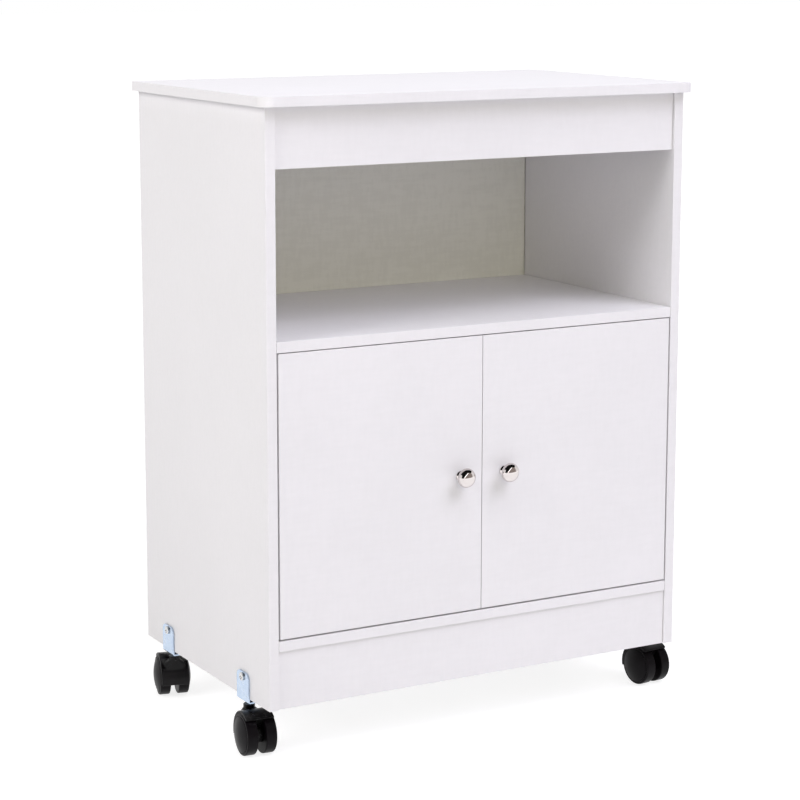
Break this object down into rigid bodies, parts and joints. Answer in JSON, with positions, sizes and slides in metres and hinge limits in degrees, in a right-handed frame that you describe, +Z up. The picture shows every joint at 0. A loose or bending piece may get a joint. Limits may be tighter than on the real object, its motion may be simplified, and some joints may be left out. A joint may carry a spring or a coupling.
{
  "type": "microwave cart",
  "caption": "White board microwave cart: overhanging top, open niche over a cabinet with inset doors and knobs, standing on twin-wheel swivel casters clipped to its side panels.",
  "frame": {"origin": "on the floor, under the middle of the whole cart's box, knobs included", "axes": "+X to the right along the front, +Y to the back, +Z up; the doors face -Y"},
  "size_m": [0.6096, 0.376, 0.7763],
  "materials": {
    "white_board": "white melamine foil with a fine embossed grain, satin",
    "back_board": "thin off-white backing board, matt",
    "knob_chrome": "polished chrome",
    "zinc_plate": "blue zinc-plated steel",
    "nickel_steel": "nickel-plated steel",
    "dowel_steel": "dark plated steel",
    "hood_plastic": "black moulded nylon, satin gloss",
    "wheel_plastic": "black moulded nylon, satin"
  },
  "bodies": {
    "carcass": {"top_board": "white_board", "left_side_panel": "white_board", "right_side_panel": "white_board", "valance_rail": "white_board", "kick_rail": "white_board", "middle_shelf": "white_board", "bottom_shelf": "white_board", "back_panel": "back_board", "valance_left_upper_dowel": "dowel_steel", "valance_left_lower_dowel": "dowel_steel", "valance_right_upper_dowel": "dowel_steel", "valance_right_lower_dowel": "dowel_steel", "kick_left_upper_dowel": "dowel_steel", "kick_left_lower_dowel": "dowel_steel", "kick_right_upper_dowel": "dowel_steel", "kick_right_lower_dowel": "dowel_steel", "left_upper_hinge_arm": "nickel_steel", "left_lower_hinge_arm": "nickel_steel", "right_upper_hinge_arm": "nickel_steel", "right_lower_hinge_arm": "nickel_steel", "front_left_bracket": "zinc_plate", "front_left_bracket_screw": "nickel_steel", "front_left_stem": "zinc_plate", "rear_left_bracket": "zinc_plate", "rear_left_bracket_screw": "nickel_steel", "rear_left_stem": "zinc_plate", "front_right_bracket": "zinc_plate", "front_right_bracket_screw": "nickel_steel", "front_right_stem": "zinc_plate", "rear_right_bracket": "zinc_plate", "rear_right_bracket_screw": "nickel_steel", "rear_right_stem": "zinc_plate"},
    "left_door": {"left_door": "white_board", "left_knob": "knob_chrome", "left_knob_screw": "nickel_steel", "left_upper_hinge_cup": "nickel_steel", "left_lower_hinge_cup": "nickel_steel"},
    "right_door": {"right_door": "white_board", "right_knob": "knob_chrome", "right_knob_screw": "nickel_steel", "right_upper_hinge_cup": "nickel_steel", "right_lower_hinge_cup": "nickel_steel"},
    "front_left_caster": {"front_left_hood": "hood_plastic", "front_left_axle": "nickel_steel"},
    "front_left_left_wheel": {"front_left_left_wheel": "wheel_plastic"},
    "front_left_right_wheel": {"front_left_right_wheel": "wheel_plastic"},
    "rear_left_caster": {"rear_left_hood": "hood_plastic", "rear_left_axle": "nickel_steel"},
    "rear_left_left_wheel": {"rear_left_left_wheel": "wheel_plastic"},
    "rear_left_right_wheel": {"rear_left_right_wheel": "wheel_plastic"},
    "front_right_caster": {"front_right_hood": "hood_plastic", "front_right_axle": "nickel_steel"},
    "front_right_left_wheel": {"front_right_left_wheel": "wheel_plastic"},
    "front_right_right_wheel": {"front_right_right_wheel": "wheel_plastic"},
    "rear_right_caster": {"rear_right_hood": "hood_plastic", "rear_right_axle": "nickel_steel"},
    "rear_right_left_wheel": {"rear_right_left_wheel": "wheel_plastic"},
    "rear_right_right_wheel": {"rear_right_right_wheel": "wheel_plastic"}
  },
  "joints": [
    {"name": "left_door_hinge", "type": "hinge", "parent": "carcass", "child": "left_door", "pos_m": [-0.2724, -0.165, 0.31675], "axis": [0, 0, -1], "range_deg": [0, 100]},
    {"name": "right_door_hinge", "type": "hinge", "parent": "carcass", "child": "right_door", "pos_m": [0.2724, -0.165, 0.31675], "axis": [0, 0, 1], "range_deg": [0, 100]},
    {"name": "front_left_swivel", "type": "hinge", "parent": "carcass", "child": "front_left_caster", "pos_m": [-0.27975, -0.097, 0.04], "axis": [0, 0, 1], "continuous": true},
    {"name": "front_left_left_wheel_spin", "type": "hinge", "parent": "front_left_caster", "child": "front_left_left_wheel", "pos_m": [-0.28149, -0.11692, 0.025], "axis": [0.9962, -0.0872, 0], "continuous": true},
    {"name": "front_left_right_wheel_spin", "type": "hinge", "parent": "front_left_caster", "child": "front_left_right_wheel", "pos_m": [-0.28149, -0.11692, 0.025], "axis": [0.9962, -0.0872, 0], "continuous": true},
    {"name": "rear_left_swivel", "type": "hinge", "parent": "carcass", "child": "rear_left_caster", "pos_m": [-0.27975, 0.12, 0.04], "axis": [0, 0, 1], "continuous": true},
    {"name": "rear_left_left_wheel_spin", "type": "hinge", "parent": "rear_left_caster", "child": "rear_left_left_wheel", "pos_m": [-0.27491, 0.13941, 0.025], "axis": [-0.9703, 0.2419, 0], "continuous": true},
    {"name": "rear_left_right_wheel_spin", "type": "hinge", "parent": "rear_left_caster", "child": "rear_left_right_wheel", "pos_m": [-0.27491, 0.13941, 0.025], "axis": [-0.9703, 0.2419, 0], "continuous": true},
    {"name": "front_right_swivel", "type": "hinge", "parent": "carcass", "child": "front_right_caster", "pos_m": [0.27975, -0.097, 0.04], "axis": [0, 0, 1], "continuous": true},
    {"name": "front_right_left_wheel_spin", "type": "hinge", "parent": "front_right_caster", "child": "front_right_left_wheel", "pos_m": [0.28149, -0.11692, 0.025], "axis": [0.9962, 0.0872, 0], "continuous": true},
    {"name": "front_right_right_wheel_spin", "type": "hinge", "parent": "front_right_caster", "child": "front_right_right_wheel", "pos_m": [0.28149, -0.11692, 0.025], "axis": [0.9962, 0.0872, 0], "continuous": true},
    {"name": "rear_right_swivel", "type": "hinge", "parent": "carcass", "child": "rear_right_caster", "pos_m": [0.27975, 0.12, 0.04], "axis": [0, 0, 1], "continuous": true},
    {"name": "rear_right_left_wheel_spin", "type": "hinge", "parent": "rear_right_caster", "child": "rear_right_left_wheel", "pos_m": [0.27491, 0.13941, 0.025], "axis": [-0.9703, -0.2419, 0], "continuous": true},
    {"name": "rear_right_right_wheel_spin", "type": "hinge", "parent": "rear_right_caster", "child": "rear_right_right_wheel", "pos_m": [0.27491, 0.13941, 0.025], "axis": [-0.9703, -0.2419, 0], "continuous": true}
  ]
}
